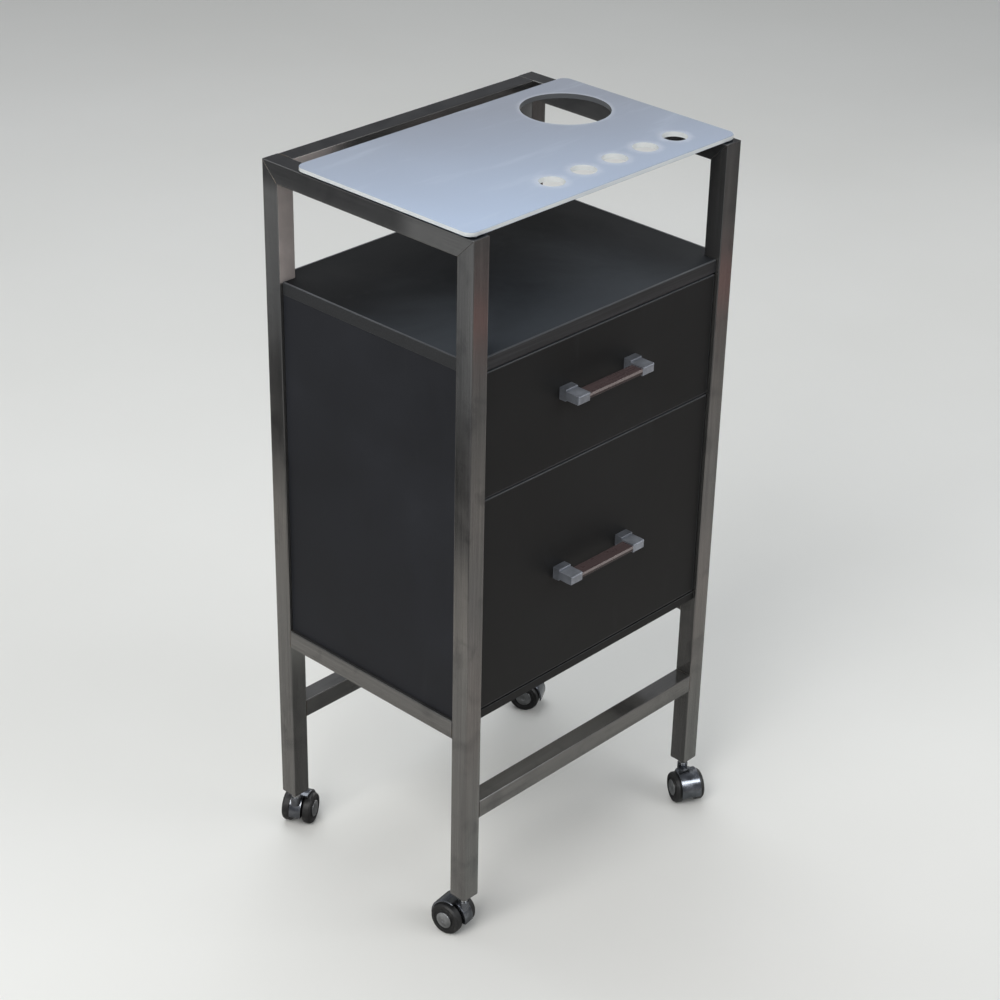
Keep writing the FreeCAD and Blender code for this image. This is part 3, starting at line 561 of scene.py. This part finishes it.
# ---------------------------------------------------------------------------
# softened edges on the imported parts
# ---------------------------------------------------------------------------
def soften(name, width, segments=3, angle=40.0):
    node = NODES[name]
    w = node.modifiers.new("join", "WELD")
    w.merge_threshold = 0.00002
    b = node.modifiers.new("round", "BEVEL")
    b.width = width
    b.segments = segments
    b.limit_method = "ANGLE"
    b.angle_limit = math.radians(angle)
    b.use_clamp_overlap = True
    b.harden_normals = False
    n = node.modifiers.new("shade", "WEIGHTED_NORMAL")
    n.keep_sharp = False
    node.data.polygons.foreach_set("use_smooth", [True] * len(node.data.polygons))


for name in NODES:
    if name in ("cabinet_side_left", "cabinet_side_right", "cabinet_back", "cabinet_bottom"):
        soften(name, 0.0008)
    elif name.endswith("_bar"):
        soften(name, 0.0011)
    elif name.startswith("drawer_") and ("_side_" in name or name.endswith("_back")):
        soften(name, 0.0006, 2)


# ---------------------------------------------------------------------------
# small parts built on the frame
# ---------------------------------------------------------------------------
def publish(name, bm, material, body, smooth=True):
    bmesh.ops.recalc_face_normals(bm, faces=bm.faces[:])
    mesh = bpy.data.meshes.new(name)
    bm.to_mesh(mesh)
    bm.free()
    mesh.polygons.foreach_set("use_smooth", [smooth] * len(mesh.polygons))
    mesh.materials.append(material)
    ob = bpy.data.objects.new(name, mesh)
    bpy.context.scene.collection.objects.link(ob)
    if smooth:
        mod = ob.modifiers.new("shade", "WEIGHTED_NORMAL")
        mod.keep_sharp = False
    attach(ob, body)
    return ob


def lathe(bm, profile, origin, axis, segments=48):
    """Closed turned shape; profile is (radius, height) from one pole to the other."""
    axis = Vector(axis).normalized()
    origin = Vector(origin)
    u = axis.orthogonal().normalized()
    v = axis.cross(u)
    rings = []
    for r, h in profile:
        base = origin + axis * h
        if r < 1e-9:
            rings.append([bm.verts.new(base)])
        else:
            rings.append([
                bm.verts.new(base + (u * math.cos(2 * math.pi * i / segments) + v * math.sin(2 * math.pi * i / segments)) * r)
                for i in range(segments)
            ])
    for a, b in zip(rings, rings[1:]):
        for i in range(segments):
            j = (i + 1) % segments
            if len(a) == 1 and len(b) == 1:
                continue
            if len(a) == 1:
                bm.faces.new((a[0], b[i], b[j]))
            elif len(b) == 1:
                bm.faces.new((a[i], b[0], a[j]))
            else:
                bm.faces.new((a[i], b[i], b[j], a[j]))


def arc(cx, cy, r, a0, a1, n):
    return [(cx + r * math.cos(math.radians(a0 + (a1 - a0) * i / n)), cy + r * math.sin(math.radians(a0 + (a1 - a0) * i / n))) for i in range(n + 1)]


def rounded_rect(w, h, r, n=5):
    """Outline of a rectangle round the origin, anticlockwise."""
    pts = []
    for sx, sy, a0 in ((1, 1, 0), (-1, 1, 90), (-1, -1, 180), (1, -1, 270)):
        pts += arc(sx * (w / 2 - r), sy * (h / 2 - r), r, a0, a0 + 90, n)
    return pts


def loop_bead(bm, centre, u, v, w, h, r, bead, segments=8):
    """Thin round bead along a rounded rectangle spanned by u and v."""
    centre, u, v = Vector(centre), Vector(u), Vector(v)
    un, vn = u.normalized(), v.normalized()
    normal = un.cross(vn)
    path = [centre + un * a + vn * b for a, b in rounded_rect(w, h, r)]
    rings = []
    count = len(path)
    for i, p in enumerate(path):
        t = (path[(i + 1) % count] - path[i - 1]).normalized()
        side = t.cross(normal)
        rings.append([bm.verts.new(p + (normal * math.cos(2 * math.pi * k / segments) + side * math.sin(2 * math.pi * k / segments)) * bead) for k in range(segments)])
    for i in range(count):
        a, b = rings[i], rings[(i + 1) % count]
        for k in range(segments):
            j = (k + 1) % segments
            bm.faces.new((a[k], b[k], b[j], a[j]))


def bar_between(bm, section, start, end, u, v):
    """Solid bar: a closed section (list of (a, b) along u, v) swept from start to end."""
    start, end, u, v = Vector(start), Vector(end), Vector(u), Vector(v)
    a = [bm.verts.new(start + u * p + v * q) for p, q in section]
    b = [bm.verts.new(end + u * p + v * q) for p, q in section]
    n = len(section)
    for i in range(n):
        j = (i + 1) % n
        bm.faces.new((a[i], a[j], b[j], b[i]))
    bm.faces.new(a[::-1])
    bm.faces.new(b)


X, Y, Z = Vector((1, 0, 0)), Vector((0, 1, 0)), Vector((0, 0, 1))
HX, HY, TUBE = 0.227, 0.170, 0.025

# weld seams: four mitred top corners and every rail end
bm = bmesh.new()
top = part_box("rail_top_left")[1][2]
for sx in (-1, 1):
    for sy in (-1, 1):
        slant = Vector((0, -sy, -1)).normalized()
        mid = Vector((sx * (HX - TUBE / 2), sy * (HY - TUBE / 2), top - TUBE / 2))
        loop_bead(bm, mid, X, slant, TUBE - 0.0002, TUBE * math.sqrt(2) - 0.0009, 0.0016, 0.00034)
publish("mitre_seams", bm, WELD, "frame")

bm = bmesh.new()
for rail in ("rail_top_back", "rail_low_front", "rail_low_back"):
    lo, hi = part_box(rail)
    for x in (lo[0], hi[0]):
        loop_bead(bm, (x, (lo[1] + hi[1]) / 2, (lo[2] + hi[2]) / 2), Y, Z, hi[1] - lo[1] - 0.0002, hi[2] - lo[2] - 0.0002, 0.0014, 0.00042)
for rail in ("rail_side_left", "rail_side_right"):
    lo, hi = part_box(rail)
    for y in (lo[1], hi[1]):
        loop_bead(bm, ((lo[0] + hi[0]) / 2, y, (lo[2] + hi[2]) / 2), X, Z, hi[0] - lo[0] - 0.0002, hi[2] - lo[2] - 0.0002, 0.0014, 0.00042)
publish("rail_end_seams", bm, WELD, "frame")

# edge strips on the boards, a hair proud of the laminate
def strip_section(depth, height, r=0.0009):
    pts = []
    pts += arc(depth / 2 - r, height / 2 - r, r, 0, 90, 4)
    pts += [(-depth / 2, height / 2), (-depth / 2, -height / 2)]
    pts += arc(depth / 2 - r, -height / 2 + r, r, -90, 0, 4)
    return pts


lo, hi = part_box("cabinet_top")
half = HX - TUBE - 0.0006
depth = 0.0026
proud = 0.0004
bm = bmesh.new()
zc, th = (lo[2] + hi[2]) / 2, hi[2] - lo[2] + 0.0003
for y, out in ((lo[1], -1), (hi[1], 1)):
    c = Vector((0, y - out * (depth / 2 - proud), zc))
    bar_between(bm, strip_section(depth, th), c - X * half, c + X * half, Y * out, Z)
half_y = HY - TUBE - 0.0006
for x, out in ((lo[0], -1), (hi[0], 1)):
    c = Vector((x - out * (depth / 2 - proud), 0, zc))
    bar_between(bm, strip_section(depth, th), c - Y * half_y, c + Y * half_y, X * out, Z)
publish("cabinet_top_edge_strips", bm, BAND, "frame", smooth=False)

for which in ("upper", "lower"):
    lo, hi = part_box("drawer_%s_front" % which)
    w, h, t = hi[0] - lo[0], hi[2] - lo[2], hi[1] - lo[1]
    cx, cy, cz = (lo[0] + hi[0]) / 2, (lo[1] + hi[1]) / 2, (lo[2] + hi[2]) / 2
    bm = bmesh.new()
    sec = strip_section(0.0016, t + 0.0002)
    for zz, out in ((lo[2], -1), (hi[2], 1)):
        c = Vector((cx, cy, zz - out * (0.0008 - 0.0003)))
        bar_between(bm, sec, c - X * (w / 2 + 0.0002), c + X * (w / 2 + 0.0002), Z * out, Y)
    for xx, out in ((lo[0], -1), (hi[0], 1)):
        c = Vector((xx - out * (0.0008 - 0.0003), cy, cz))
        bar_between(bm, sec, c - Z * (h / 2 + 0.0002), c + Z * (h / 2 + 0.0002), X * out, Y)
    publish("drawer_%s_edge_strips" % which, bm, BAND, "drawer_" + which, smooth=False)

# caster details: domed centre caps, plug flanges and flange nuts on the stems
cap_profile = [
    (0.0, -0.0015), (0.0107, -0.0015), (0.0110, -0.0012), (0.0110, 0.0000), (0.01085, 0.00045), (0.0105, 0.00060),
    (0.0098, 0.00066), (0.0095, 0.00052), (0.0092, 0.00052), (0.0088, 0.00076), (0.0078, 0.00105), (0.0060, 0.00145),
    (0.0040, 0.00165), (0.0030, 0.00168), (0.0027, 0.00150), (0.0024, 0.00110), (0.0021, 0.00100), (0.0, 0.00100),
]
for key in ("front_left", "front_right", "back_left", "back_right"):
    corner = JOINTS["caster_%s_swivel" % key]
    for hand, sign in (("left", 1), ("right", -1)):
        joint = JOINTS["caster_%s_wheel_%s_spin" % (key, hand)]
        pos = Vector(joint["pos_m"])
        axis = Vector(joint["axis"]).normalized() * sign
        face = pos + axis * 0.0206
        bm = bmesh.new()
        lathe(bm, cap_profile, face, axis, 48)
        publish("caster_%s_cap_%s" % (key, hand), bm, CAP, "caster_%s_wheel_%s_body" % (key, hand))
        # moulded ring and eight shallow ribs round the cap
        bm = bmesh.new()
        ring = arc(0.0154, 0, 0.00065, 0, 360, 12)[:-1]
        u = axis.orthogonal().normalized()
        v = axis.cross(u)
        base = pos + axis * 0.01965
        loops = []
        for i in range(56):
            a = 2 * math.pi * i / 56
            d = u * math.cos(a) + v * math.sin(a)
            loops.append([bm.verts.new(base + d * r + axis * q) for r, q in ring])
        for i in range(56):
            a, b = loops[i], loops[(i + 1) % 56]
            for k in range(len(ring)):
                j = (k + 1) % len(ring)
                bm.faces.new((a[k], b[k], b[j], a[j]))
        publish("caster_%s_ring_%s" % (key, hand), bm, RUBBER, "caster_%s_wheel_%s_body" % (key, hand))
    # hexagon flange nut under the post, screwed on the stem
    cx, cy = corner["pos_m"][0], corner["pos_m"][1]
    bm = bmesh.new()
    lathe(bm, [(0.0, 0.0), (0.0072, 0.0), (0.0080, 0.0005), (0.0080, 0.0012), (0.0072, 0.0017), (0.0, 0.0017)], (cx, cy, 0.0566), Z, 40)
    turn = math.radians(17 + 31 * (cx > 0) + 13 * (cy > 0))
    levels = ((0.0058, 0.0514), (0.0068, 0.0520), (0.0068, 0.0562), (0.0064, 0.0568))
    rows_ = [[bm.verts.new((cx + r * math.cos(turn + k * math.pi / 3), cy + r * math.sin(turn + k * math.pi / 3), z)) for k in range(6)] for r, z in levels]
    for a, b in zip(rows_, rows_[1:]):
        for k in range(6):
            j = (k + 1) % 6
            bm.faces.new((a[k], a[j], b[j], b[k]))
    bm.faces.new(rows_[0][::-1])
    bm.faces.new(rows_[-1])
    publish("stem_nut_%s" % key, bm, BRIGHT, "frame", smooth=False)
    # rim of the plastic plug, just under the tube end
    bm = bmesh.new()
    outline = rounded_rect(TUBE - 0.0006, TUBE - 0.0006, 0.0014)
    inner = rounded_rect(TUBE - 0.0018, TUBE - 0.0018, 0.0009)
    zs = [(outline, 0.0602), (outline, 0.0590), (inner, 0.0583)]
    rows_ = [[bm.verts.new((cx + a, cy + b, z)) for a, b in o] for o, z in zs]
    for a, b in zip(rows_, rows_[1:]):
        n = len(a)
        for k in range(n):
            j = (k + 1) % n
            bm.faces.new((a[k], a[j], b[j], b[k]))
    bm.faces.new(rows_[0][::-1])
    bm.faces.new(rows_[-1])
    publish("plug_rim_%s" % key, bm, BLACK, "frame", smooth=False)


def screw_head(bm, centre, axis, r=0.0038, rise=0.0016):
    """Pan head with a cross recess cut as four pressed grooves."""
    axis = Vector(axis).normalized()
    centre = Vector(centre)
    u = axis.orthogonal().normalized()
    v = axis.cross(u)
    seg = 32
    radii = (0.0, 0.30, 0.55, 0.78, 0.93, 1.0, 1.0)
    rings = []
    for q, f in enumerate(radii):
        if q == 6:
            h = -0.0006
        elif q == 5:
            h = rise * 0.25
        else:
            h = rise * math.sqrt(max(0.0, 1 - (f * 0.92) ** 2))
        if f == 0.0:
            rings.append([bm.verts.new(centre + axis * (h - 0.0009))])
            continue
        ring = []
        for i in range(seg):
            a = 2 * math.pi * i / seg
            groove = max(abs(math.cos(2 * a)) - 0.80, 0.0) / 0.20
            dip = 0.0009 * groove * (1.0 if q <= 2 else 0.0)
            ring.append(bm.verts.new(centre + axis * (h - dip) + (u * math.cos(a) + v * math.sin(a)) * r * f))
        rings.append(ring)
    for a, b in zip(rings, rings[1:]):
        for i in range(seg):
            j = (i + 1) % seg
            if len(a) == 1:
                bm.faces.new((a[0], b[i], b[j]))
            else:
                bm.faces.new((a[i], b[i], b[j], a[j]))
    bm.faces.new(rings[-1])


# back panel screws, and the screws that hold the cabinet to the side rails
lo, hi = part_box("cabinet_back")
bm = bmesh.new()
for fx in (0.04, 0.5, 0.96):
    for fz in (0.025, 0.975):
        screw_head(bm, (lo[0] + (hi[0] - lo[0]) * fx, hi[1], lo[2] + (hi[2] - lo[2]) * fz), Y)
for fx in (0.04, 0.96):
    screw_head(bm, (lo[0] + (hi[0] - lo[0]) * fx, hi[1], (lo[2] + hi[2]) / 2), Y)
publish("back_panel_screws", bm, BRIGHT, "frame")

bm = bmesh.new()
for rail in ("rail_side_left", "rail_side_right"):
    lo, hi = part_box(rail)
    for y in (-0.09, 0.09):
        screw_head(bm, ((lo[0] + hi[0]) / 2, y, lo[2]), -Z, 0.0042, 0.0018)
publish("side_rail_screws", bm, BRIGHT, "frame")

# screws through the drawer sides into the runners' sliding rails, seen inside the boxes
for which in ("upper", "lower"):
    bm = bmesh.new()
    for side, inward in (("left", 1), ("right", -1)):
        lo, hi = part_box("drawer_%s_side_%s" % (which, side))
        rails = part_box("drawer_%s_rails" % which)
        z = (rails[0][2] + rails[1][2]) / 2
        x = hi[0] if inward > 0 else lo[0]
        for f in (0.12, 0.5, 0.88):
            screw_head(bm, (x, lo[1] + (hi[1] - lo[1]) * f, z), X * inward, 0.0030, 0.0011)
    publish("drawer_%s_rail_screws" % which, bm, BRIGHT, "drawer_" + which)

# ---------------------------------------------------------------------------
# stage, light and camera
# ---------------------------------------------------------------------------
def grid_plane(name, half, steps, z):
    mesh = bpy.data.meshes.new(name)
    bm = bmesh.new()
    bmesh.ops.create_grid(bm, x_segments=steps, y_segments=steps, size=half, matrix=Matrix.Translation((0, 0, z)))
    bm.to_mesh(mesh)
    bm.free()
    ob = bpy.data.objects.new(name, mesh)
    bpy.context.scene.collection.objects.link(ob)
    return ob


floor = grid_plane("studio_floor", 14.0, 4, 0.0)
fm = Mat("studio_floor_paint")
fm.set(Base_Color=fm.ramp(fm.noise(fm.coords(), 1.2, 3.0), (0.3, (0.79, 0.79, 0.76)), (0.7, (0.82, 0.82, 0.795))), Roughness=0.85)
floor.data.materials.append(fm.material)

# Dark glowing card lying on the floor, a painted reflection of the room: only mirror reflections see it,
# so the polished tubes pick up a darker room than the pale floor around them.
card = grid_plane("reflection_card", 6.0, 2, 0.0012)
cm = Mat("reflection_card_tone")
px, py, pz = cm.axes()
wave = cm.math("MULTIPLY", cm.math("SUBTRACT", cm.noise(cm.coords(), 2.3, 3.0, 0.55), 0.5), 0.13)
left_of = cm.ramp(
    cm.fit(cm.math("ADD", px, wave), -1.80, -0.20, smooth=False),
    (0.00, (0.33, 0.34, 0.35)), (0.10, (0.33, 0.34, 0.35)), (0.17, (0.27, 0.28, 0.29)), (0.31, (0.20, 0.21, 0.22)), (0.38, (0.02, 0.02, 0.022)),
    (0.51, (0.015, 0.015, 0.016)), (0.56, (0.24, 0.235, 0.23)), (0.61, (0.58, 0.545, 0.50)), (0.74, (0.46, 0.45, 0.43)), (0.90, (0.43, 0.42, 0.40)),
)
ahead_of = cm.ramp(
    cm.fit(cm.math("ADD", py, wave), -1.80, -0.10, smooth=False),
    (0.06, (0.13, 0.125, 0.125)), (0.16, (0.12, 0.115, 0.115)), (0.29, (0.23, 0.225, 0.225)), (0.37, (0.22, 0.22, 0.215)),
    (0.52, (0.42, 0.39, 0.365)), (0.62, (0.32, 0.32, 0.315)), (0.74, (0.53, 0.48, 0.45)), (0.89, (0.43, 0.44, 0.42)),
)
side = cm.fit(cm.math("ADD", px, cm.math("MULTIPLY", py, -0.9)), -0.20, 0.20)
tone = cm.mix(side, left_of, ahead_of)
# painted reflection: a warm reddish patch out at the front right
qx = cm.math("DIVIDE", cm.math("SUBTRACT", px, 1.40), 0.62)
qy = cm.math("DIVIDE", cm.math("SUBTRACT", cm.math("SUBTRACT", py, cm.math("MULTIPLY", cm.math("SUBTRACT", px, 1.40), 0.34)), -1.365), 0.19)
warm = cm.math("SUBTRACT", 1.0, cm.math("SQRT", cm.math("ADD", cm.math("MULTIPLY", qx, qx), cm.math("MULTIPLY", qy, qy))))
tone = cm.mix(cm.fit(warm, 0.0, 0.40, 0.0, 0.95), tone, (0.42, 0.235, 0.215))
# painted shadow: the card is darker right under the trolley
under = cm.math("MULTIPLY", cm.fit(cm.math("ABSOLUTE", px), 0.20, 0.27, 1.0, 0.0), cm.fit(cm.math("ABSOLUTE", py), 0.14, 0.22, 1.0, 0.0))
tone = cm.mix(cm.math("MULTIPLY", under, 0.80), tone, (0.05, 0.05, 0.05))
cm.set(Base_Color=(0.0, 0.0, 0.0), Emission_Color=tone, Emission_Strength=1.0)
cm.shader.inputs["Roughness"].default_value = 1.0
cm.shader.inputs["Specular IOR Level"].default_value = 0.0
card.data.materials.append(cm.material)
card.visible_camera = False
card.visible_diffuse = False
card.visible_transmission = False
card.visible_shadow = False
card.visible_volume_scatter = False

world = bpy.data.worlds.new("studio_world")
bpy.context.scene.world = world
world.use_nodes = True
world.node_tree.nodes["Background"].inputs[0].default_value = (0.80, 0.82, 0.86, 1)
world.node_tree.nodes["Background"].inputs[1].default_value = 0.35


def softbox(name, location, target, size, power, colour=(1, 1, 1)):
    light = bpy.data.lights.new(name, "AREA")
    light.shape = "RECTANGLE"
    light.size, light.size_y = size
    light.energy = power
    light.color = colour
    ob = bpy.data.objects.new(name, light)
    bpy.context.scene.collection.objects.link(ob)
    ob.location = location
    ob.rotation_euler = (Vector(target) - Vector(location)).to_track_quat("-Z", "Y").to_euler()
    return ob


softbox("key_soft", (-2.9, -0.7, 3.2), (0, 0, 0.5), (2.4, 2.4), 100, (1.0, 0.99, 0.97))
softbox("fill_soft", (1.4, -3.2, 2.4), (0, 0, 0.5), (2.4, 2.0), 40, (0.98, 0.99, 1.0))
softbox("rim_soft", (2.6, 0.7, 1.3), (0, 0, 0.6), (0.5, 2.4), 16, (1.0, 0.97, 0.93)).visible_diffuse = False
softbox("top_soft", (0.6, 1.4, 3.6), (0, 0, 0.6), (2.6, 2.6), 50, (0.95, 0.98, 1.0))

softbox("window_soft", (-0.2, -2.6, 2.7), (0, 0, 0.1), (1.7, 1.0), 38, (0.96, 0.98, 1.0)).visible_diffuse = False

camera = bpy.data.cameras.new("camera")
camera.lens = 85.539
camera.sensor_width = 36.0
camera.shift_x, camera.shift_y = -0.025, 0.075
camera.clip_start, camera.clip_end = 0.05, 60.0
cam = bpy.data.objects.new("camera", camera)
bpy.context.scene.collection.objects.link(cam)
rows = (
    (0.68507886, 0.35482378, -0.63621305, -1.9230378),
    (-0.72804784, 0.36318677, -0.58141354, -1.8074585),
    (0.02476481, 0.86150766, 0.50714027, 1.9236011),
    (0, 0, 0, 1),
)
cam.matrix_world = Matrix(rows)
bpy.context.scene.camera = cam
bpy.context.scene.view_settings.view_transform = "Standard"
